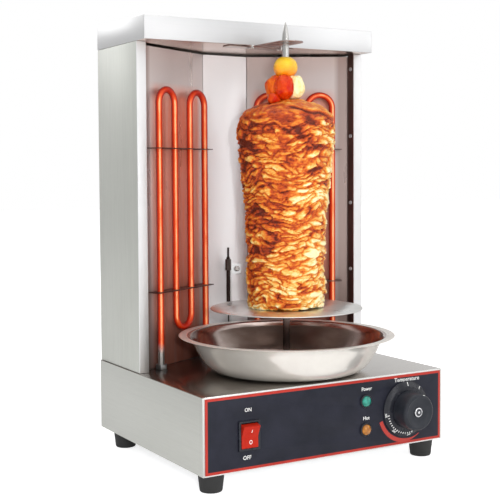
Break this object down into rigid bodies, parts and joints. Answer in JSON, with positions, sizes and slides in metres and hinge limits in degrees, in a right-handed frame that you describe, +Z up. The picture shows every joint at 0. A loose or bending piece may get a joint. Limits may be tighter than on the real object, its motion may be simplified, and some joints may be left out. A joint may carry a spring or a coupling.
{
  "type": "vertical rotisserie broiler",
  "caption": "Countertop vertical rotisserie broiler: steel cabinet, tubular heaters, turning spit with stacked meat, drip bowl and a front control panel.",
  "frame": {"origin": "on the ground plane under the feet, at the middle of the bounding box in X and Y", "axes": "+Z up along the spit, +X to the right of someone facing the controls, +Y towards the back; the controls face -Y"},
  "size_m": [0.32, 0.3203, 0.515],
  "materials": {
    "brushed_steel": "satin stainless sheet with a fine straight grain",
    "polished_steel": "bright polished stainless",
    "mirror_reflector": "mirror-finished stainless, slightly heat stained",
    "zinc_steel": "dull zinc-plated steel",
    "heater_tube": "glowing metal-sheathed heating tube, oxidised",
    "black_rubber": "matt moulded rubber",
    "black_plastic": "fine-textured moulded plastic",
    "knob_plastic": "satin moulded phenolic with printed white ticks",
    "printed_panel": "blue-black printed overlay with a red border",
    "red_plastic": "glossy translucent red",
    "green_lens": "glossy translucent green",
    "amber_lens": "glossy translucent amber",
    "nylon": "off-white moulded nylon",
    "probe_metal": "heat-blackened capillary bulb",
    "roast_meat": "browned, oily, thin stacked slices with charred edges",
    "tomato": "wet cut tomato",
    "onion": "translucent layered onion",
    "lemon_peel": "dimpled citrus peel"
  },
  "bodies": {
    "machine": {"base_shell": "brushed_steel", "base_bottom_plate": "zinc_steel", "base_rear_panel": "brushed_steel", "cord_gland": "black_plastic", "front_fascia": "printed_panel", "foot_front_left": "black_rubber", "foot_front_right": "black_rubber", "foot_rear_left": "black_rubber", "foot_rear_right": "black_rubber", "switch_body": "black_plastic", "lamp_power_body": "black_plastic", "lamp_power_lens": "green_lens", "lamp_heat_body": "black_plastic", "lamp_heat_lens": "amber_lens", "thermostat_body": "black_plastic", "sensor_bulb": "probe_metal", "probe_clip": "polished_steel", "probe_screw": "polished_steel", "gear_motor": "zinc_steel", "motor_bracket": "zinc_steel", "shaft_bushing": "nylon", "terminal_block": "nylon", "cabinet_side_left": "brushed_steel", "cabinet_side_right": "brushed_steel", "cabinet_back": "brushed_steel", "reflector_left": "mirror_reflector", "reflector_center": "mirror_reflector", "reflector_right": "mirror_reflector", "heater_left": "heater_tube", "heater_right": "heater_tube", "heater_nut_left_outer": "zinc_steel", "heater_nut_left_inner": "zinc_steel", "heater_nut_right_outer": "zinc_steel", "heater_nut_right_inner": "zinc_steel", "heater_support_left_lower": "polished_steel", "heater_support_left_upper": "polished_steel", "heater_support_right_lower": "polished_steel", "heater_support_right_upper": "polished_steel", "canopy": "brushed_steel", "canopy_underside": "mirror_reflector", "holder_lug_left": "polished_steel", "holder_lug_right": "polished_steel"},
    "spit_drive": {"drive_shaft": "zinc_steel", "drive_coupling": "polished_steel"},
    "spit": {"spit_rod": "polished_steel", "meat_disc": "polished_steel", "meat_stack": "roast_meat", "tomato_wedge_left": "tomato", "tomato_wedge_front": "tomato", "onion_wedge": "onion", "tomato_wedge_right": "tomato", "cherry_tomato": "tomato", "lemon": "lemon_peel"},
    "bowl": {"drip_bowl": "polished_steel"},
    "holder": {"spit_holder": "polished_steel"},
    "knob": {"thermostat_shaft": "zinc_steel", "knob_skirt": "knob_plastic", "knob_grip": "knob_plastic", "knob_cap": "polished_steel"},
    "rocker": {"switch_rocker": "red_plastic"}
  },
  "joints": [
    {"name": "spit_turn", "type": "hinge", "parent": "machine", "child": "spit_drive", "pos_m": [0, -0.0335, 0.13], "axis": [0, 0, 1], "continuous": true},
    {"name": "spit_lift", "type": "slide", "parent": "spit_drive", "child": "spit", "axis": [0, 0, 1], "range_m": [0, 0.0135]},
    {"name": "bowl_lift", "type": "slide", "parent": "machine", "child": "bowl", "axis": [0, 0, 1], "range_m": [0, 0.04]},
    {"name": "holder_flip", "type": "hinge", "parent": "machine", "child": "holder", "pos_m": [0, 0.0092, 0.48695], "axis": [-1, 0, 0], "range_deg": [0, 90]},
    {"name": "knob_turn", "type": "hinge", "parent": "machine", "child": "knob", "pos_m": [0.1054, -0.124, 0.0624], "axis": [0, 1, 0], "range_deg": [0, 285]},
    {"name": "rocker_press", "type": "hinge", "parent": "machine", "child": "rocker", "pos_m": [-0.105, -0.1237, 0.0583], "axis": [-1, 0, 0], "range_deg": [0, 24]}
  ]
}
